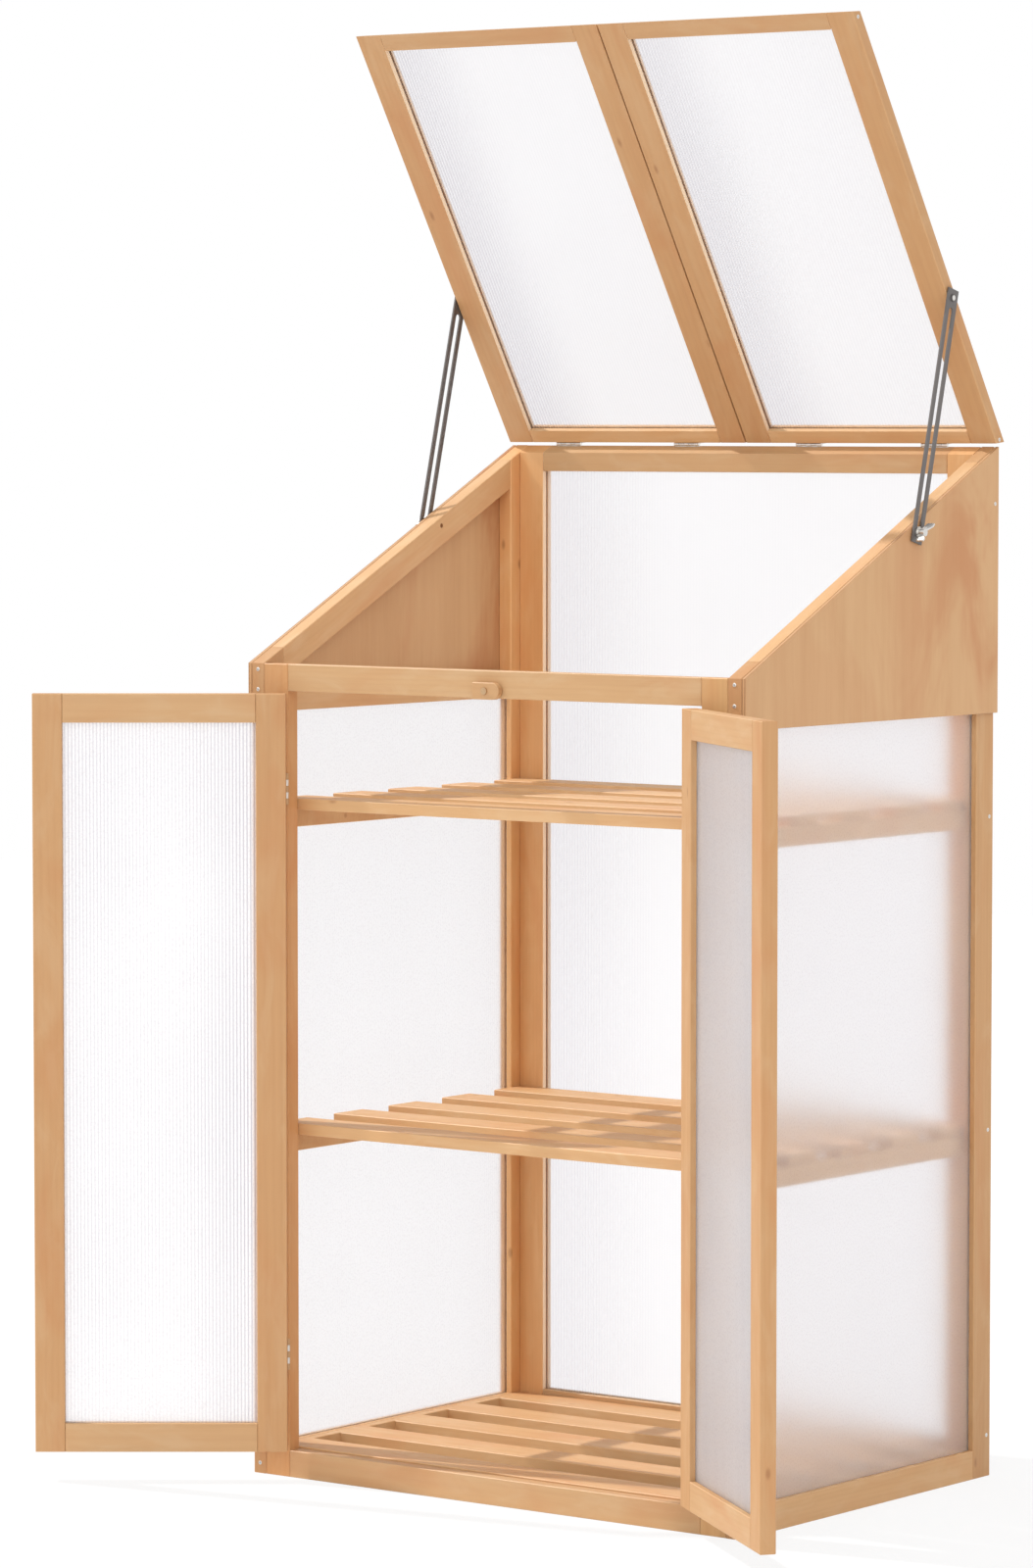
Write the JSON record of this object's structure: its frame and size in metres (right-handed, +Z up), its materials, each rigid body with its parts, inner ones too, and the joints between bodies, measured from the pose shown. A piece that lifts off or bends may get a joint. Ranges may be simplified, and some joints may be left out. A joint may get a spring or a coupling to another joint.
{
  "type": "mini greenhouse",
  "caption": "Wooden mini greenhouse cabinet with twin-wall panels, slatted shelves, paired front doors and paired sloping lids propped open by slotted stays.",
  "frame": {"origin": "middle of the underside of the front bottom rail, on the ground plane", "axes": "+X to the right as seen from the front, +Y from the front to the back, +Z up"},
  "size_m": [1.0368, 0.7056, 1.6654],
  "materials": {
    "timber": "sanded softwood under a thin honey-brown stain",
    "plywood": "stained plywood face",
    "glazing": "translucent twin-wall polycarbonate sheet",
    "dark_steel": "dark grey coated steel",
    "bright_steel": "bright zinc-plated steel"
  },
  "bodies": {
    "cabinet": {"left_front_post": "timber", "left_rear_post": "timber", "left_bottom_rail": "timber", "left_middle_rail": "timber", "left_sloping_rail": "timber", "left_side_panel": "glazing", "left_cheek": "plywood", "left_door_lower_hinge": "bright_steel", "left_door_upper_hinge": "bright_steel", "left_lid_inner_hinge": "bright_steel", "left_lid_outer_hinge": "bright_steel", "right_front_post": "timber", "right_rear_post": "timber", "right_bottom_rail": "timber", "right_middle_rail": "timber", "right_sloping_rail": "timber", "right_side_panel": "glazing", "right_cheek": "plywood", "right_door_lower_hinge": "bright_steel", "right_door_upper_hinge": "bright_steel", "right_lid_inner_hinge": "bright_steel", "right_lid_outer_hinge": "bright_steel", "front_left_stile": "timber", "front_right_stile": "timber", "front_bottom_rail": "timber", "front_top_rail": "timber", "back_left_stile": "timber", "back_right_stile": "timber", "back_bottom_rail": "timber", "back_top_rail": "timber", "back_panel": "glazing", "bottom_shelf": "timber", "middle_shelf": "timber", "top_shelf": "timber", "turn_button_screw": "bright_steel"},
    "left_door": {"left_door_hinge_stile": "timber", "left_door_free_stile": "timber", "left_door_bottom_rail": "timber", "left_door_top_rail": "timber", "left_door_panel": "glazing"},
    "left_lid": {"left_lid_outer_stile": "timber", "left_lid_inner_stile": "timber", "left_lid_front_rail": "timber", "left_lid_rear_rail": "timber", "left_lid_panel": "glazing"},
    "left_stay": {"left_stay": "dark_steel"},
    "left_wing_screw": {"left_wing_screw": "bright_steel"},
    "right_door": {"right_door_hinge_stile": "timber", "right_door_free_stile": "timber", "right_door_bottom_rail": "timber", "right_door_top_rail": "timber", "right_door_panel": "glazing"},
    "right_lid": {"right_lid_outer_stile": "timber", "right_lid_inner_stile": "timber", "right_lid_front_rail": "timber", "right_lid_rear_rail": "timber", "right_lid_panel": "glazing"},
    "right_stay": {"right_stay": "dark_steel"},
    "right_wing_screw": {"right_wing_screw": "bright_steel"},
    "turn_button": {"turn_button": "timber"}
  },
  "joints": [
    {"name": "left_door_hinge", "type": "hinge", "parent": "cabinet", "child": "left_door", "pos_m": [-0.2904, -0.0114, 0.466], "axis": [0, 0, 1], "range_deg": [-37.5, 142.5]},
    {"name": "left_lid_hinge", "type": "hinge", "parent": "cabinet", "child": "left_lid", "pos_m": [0, 0.489, 1.18769], "axis": [1, 0, 0], "range_deg": [0, 84.4]},
    {"name": "left_stay_pivot", "type": "hinge", "parent": "left_lid", "child": "left_stay", "pos_m": [-0.352, 0.38881, 1.35381], "axis": [1, 0, 0], "range_deg": [-42.2, 0]},
    {"name": "left_wing_screw_turn", "type": "hinge", "parent": "cabinet", "child": "left_wing_screw", "pos_m": [-0.352, 0.32081, 1.09099], "axis": [1, 0, 0], "continuous": true},
    {"name": "right_door_hinge", "type": "hinge", "parent": "cabinet", "child": "right_door", "pos_m": [0.2904, -0.0114, 0.466], "axis": [0, 0, -1], "range_deg": [-37.5, 142.5]},
    {"name": "right_lid_hinge", "type": "hinge", "parent": "cabinet", "child": "right_lid", "pos_m": [0, 0.489, 1.18769], "axis": [1, 0, 0], "range_deg": [0, 84.4]},
    {"name": "right_stay_pivot", "type": "hinge", "parent": "right_lid", "child": "right_stay", "pos_m": [0.352, 0.38881, 1.35381], "axis": [1, 0, 0], "range_deg": [-42.2, 0]},
    {"name": "right_wing_screw_turn", "type": "hinge", "parent": "cabinet", "child": "right_wing_screw", "pos_m": [0.352, 0.32081, 1.09099], "axis": [1, 0, 0], "continuous": true},
    {"name": "turn_button_pivot", "type": "hinge", "parent": "cabinet", "child": "turn_button", "pos_m": [0, -0.0095, 0.9155], "axis": [0, 1, 0], "range_deg": [-90, 90]}
  ],
  "couplings": [
    {"joint": "left_stay_pivot", "follows": "left_lid_hinge", "ratio": -0.5},
    {"joint": "right_stay_pivot", "follows": "right_lid_hinge", "ratio": -0.5}
  ]
}
